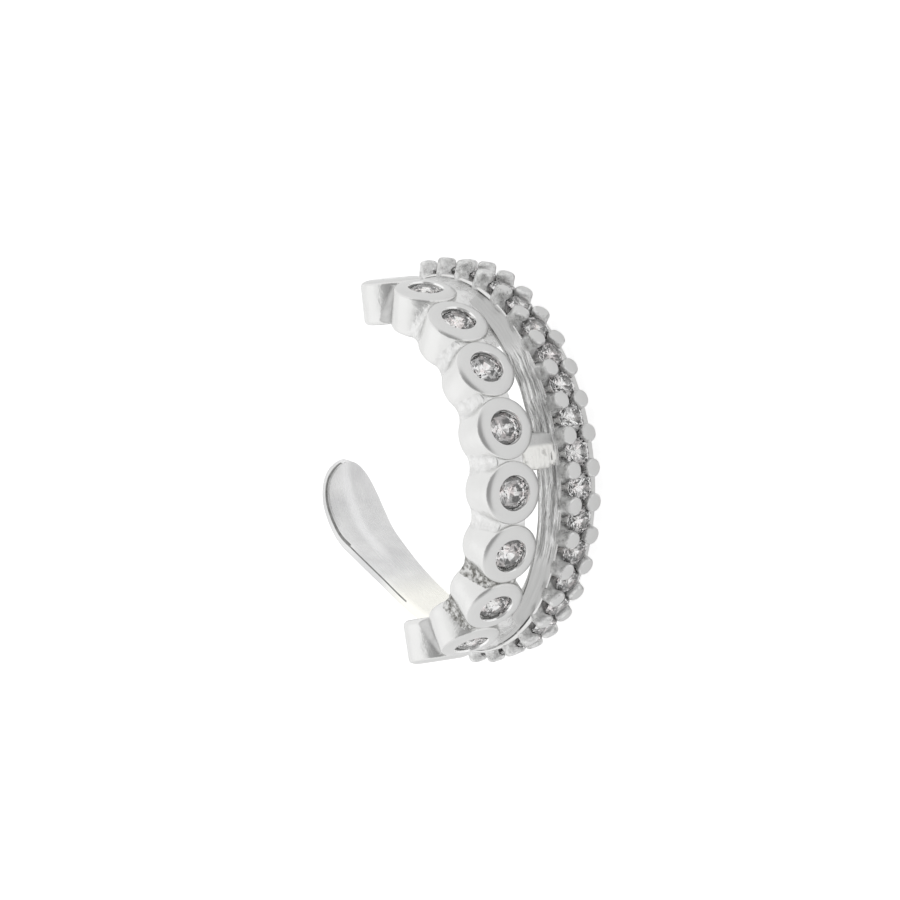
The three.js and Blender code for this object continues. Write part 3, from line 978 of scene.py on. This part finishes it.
def course_point(rows, share):
    """Point and tangent on a centripetal curve through rows of numbers."""
    count = len(rows)
    spot = share * (count - 1)
    first = min(int(spot), count - 2)
    weight = spot - first
    second, third = rows[first], rows[first + 1]
    before = rows[first - 1] if first > 0 else 2 * rows[0] - rows[1]
    after = rows[first + 2] if first + 2 < count else 2 * rows[-1] - rows[-2]
    d0, d1, d2 = (np.sum((b - a) ** 2) ** 0.25
                  for a, b in ((before, second), (second, third), (third, after)))
    t1 = ((second - before) / d0 - (third - before) / (d0 + d1) + (third - second) / d1) * d1
    t2 = ((third - second) / d1 - (after - second) / (d1 + d2) + (after - third) / d2) * d1
    c2 = 3 * (third - second) - 2 * t1 - t2
    c3 = 2 * (second - third) + t1 + t2
    point = second + t1 * weight + c2 * weight ** 2 + c3 * weight ** 3
    tangent = t1 + 2 * c2 * weight + 3 * c3 * weight ** 2
    return point, tangent


# Rise and reach from the ring axis, and half the width.
course = [
    np.array((rise * tongue_rise - tube_inner_radius, reach * tongue_reach,
              width * tongue_width / 2))
    for reach, rise, width in tongue_course
]
points, lay = [], []
walked = 0.0
former = None
for station in range(tongue_stations + 1):
    place, tangent = course_point(course, station / tongue_stations)
    outward = np.array((-tangent[1], tangent[0], 0)) / math.hypot(tangent[0], tangent[1])
    half = place[2]
    if former is not None:
        walked += math.dist(place[:2], former)
    former = place[:2]
    edge = min(tongue_edge, half / 2)
    ring = split_sides(eased([
        (0, half, edge), (tongue_thickness, half, edge),
        (tongue_thickness, -half, edge), (0, -half, edge),
    ]), tongue_side_parts)
    for out, aside in ring:
        at = np.array((place[0], place[1], tongue_middle + aside))
        points.append(ring_centre + at + outward * out)
        lay.append((walked, aside))
faces = grid_faces(tongue_stations + 1, len(ring))
finish_of = [0] * len(faces)
first_row = round(tongue_stations * tongue_line_start)
last_row = round(tongue_stations * tongue_line_end)
for row in range(first_row, last_row):
    wide = row > tongue_stations * tongue_line_widens
    for column in tongue_line_wide if wide else tongue_line_thin:
        finish_of[row * len(ring) + column] = 1
metal_piece("tongue", points, faces, [brushed_sheet, painted_edge_shade], finish_of, lay, crisp=40)

# Stones
# Ten round brilliants of clear white stone in the tubes and nineteen smaller ones between
# the prongs, cut with a flat table and polished facets, with a faint warm tint inside.
stone_ior = 2.15
stone_tints = {"bezel_stone": (0.96, 0.84, 0.83), "prong_stone": (0.98, 0.90, 0.90)}
for name, warm in stone_tints.items():
    clear = bpy.data.materials.new(name + "_clear")
    clear.use_nodes = True
    tree = clear.node_tree
    shader = tree.nodes["Principled BSDF"]
    shader.inputs["Metallic"].default_value = 0.0
    shader.inputs["IOR"].default_value = stone_ior
    shader.inputs["Transmission Weight"].default_value = 1.0
    cloud = add_group(tree, slow_cloud, Clouds_per_mm=3.5, Contrast=4.0)
    tinted = ramp(tree, cloud.outputs["Cloud"], 0.0, 0.45)
    colour_by(tree, shader, tinted, warm, (1.0, 1.0, 1.0))
    polish = add_group(tree, cast_skin, Lumps_per_mm=6.0, Grain_per_mm=40.0)
    rough_by(tree, shader, polish.outputs["Pits"], 0.0, 0.03)
    for node_name, stone in frame["nodes"].items():
        if node_name.startswith(name):
            stone.data.materials.clear()
            stone.data.materials.append(clear)
            stone.data.shade_flat()

# Studio
# The cuff lies on the flat side of its band on a plain pale table, in a white tent that
# is bright all round and greyer over its opening.
table_half = 2
tent_opening = (0.0, -0.856, 0.517)
tent_shade, tent_shade_range = 0.43, (0.6, 0.67)
tent_core, tent_core_range = 0.19, (0.7, 0.94)
tent_horizon = 0.25
lamp_place = (-0.1, 0.3, 0.5)

scene = bpy.context.scene
scene.view_settings.view_transform = "Standard"

table_mesh = bpy.data.meshes.new("table")
table_mesh.from_pydata(
    [(-table_half, -table_half, 0), (table_half, -table_half, 0),
     (table_half, table_half, 0), (-table_half, table_half, 0)], [], [(0, 1, 2, 3)],
)
table = bpy.data.objects.new("table", table_mesh)
scene.collection.objects.link(table)
pale = bpy.data.materials.new("pale_table")
pale.use_nodes = True
tree = pale.node_tree
shader = tree.nodes["Principled BSDF"]
shader.inputs["Roughness"].default_value = 0.9
shader.inputs["Specular IOR Level"].default_value = 0.0
shader.inputs["Base Color"].default_value = (0.5, 0.5, 0.5, 1)
shader.inputs["Emission Strength"].default_value = 1.0
rays = put(tree, "ShaderNodeLightPath")
glow = tone(tree, rays.outputs["Is Camera Ray"], (0.53, 0.53, 0.53), (0.82, 0.82, 0.82))
tree.links.new(glow, shader.inputs["Emission Color"])
table_mesh.materials.append(pale)

tent = bpy.data.worlds.new("tent")
scene.world = tent
tent.use_nodes = True
tree = tent.node_tree
backdrop = tree.nodes["Background"]
backdrop.inputs["Color"].default_value = (1, 1, 1, 1)
towards = put(tree, "ShaderNodeTexCoord").outputs["Generated"]
parts = put(tree, "ShaderNodeSeparateXYZ", Vector=towards)
to_opening = put(tree, "ShaderNodeVectorMath", {"operation": "DOT_PRODUCT"},
                 _0=towards, _1=tent_opening).outputs["Value"]
shade = soft_ramp(tree, to_opening, *tent_shade_range, 0.0, tent_shade)
core = soft_ramp(tree, to_opening, *tent_core_range, 0.0, tent_core)
above = soft_ramp(tree, parts.outputs["Z"], 0.0, tent_horizon)
grey = reckoned(tree, "MULTIPLY", reckoned(tree, "ADD", shade, core), above)
tree.links.new(reckoned(tree, "SUBTRACT", 1.0, grey), backdrop.inputs["Strength"])

light = bpy.data.lights.new("top_box", "AREA")
light.shape = "DISK"
light.size = 0.6
light.energy = 0.09
lamp = bpy.data.objects.new("top_box", light)
lamp.location = lamp_place
lamp.rotation_euler = Vector(lamp.location).to_track_quat("Z", "Y").to_euler()
scene.collection.objects.link(lamp)

# The camera looks down on the front of the C at the photograph's angle, turned on its
# side as the photograph is, with the ring axis at its place in the picture.
camera_elevation = math.radians(31.14)
camera_roll = math.radians(-7.87)
camera_distance = 250.0
picture_size = 900
pixels_per_mm = 31.16
ring_in_picture = (411.4, 469.9)
aim_right = picture_size / 2 - ring_in_picture[0]
aim_up = ring_in_picture[1] - picture_size / 2
back = np.array((0, -math.cos(camera_elevation), math.sin(camera_elevation)))
level_right = -(np.array((0, 0, 1)) - back * back[2])
level_right /= np.linalg.norm(level_right)
level_up = np.cross(back, level_right)
right = math.cos(camera_roll) * level_right + math.sin(camera_roll) * level_up
up = np.cross(back, right)
eye = ring_centre + back * camera_distance + (right * aim_right + up * aim_up) / pixels_per_mm
lens = bpy.data.cameras.new("camera")
lens.sensor_width = 36
lens.lens = pixels_per_mm * camera_distance * lens.sensor_width / picture_size
lens.clip_start = 0.01
lens.clip_end = 10
camera = bpy.data.objects.new("camera", lens)
scene.collection.objects.link(camera)
facing = Matrix((right, up, back)).transposed().to_4x4()
camera.matrix_world = Matrix.Translation(eye * 0.001) @ facing
scene.camera = camera

bpy.context.view_layer.update()
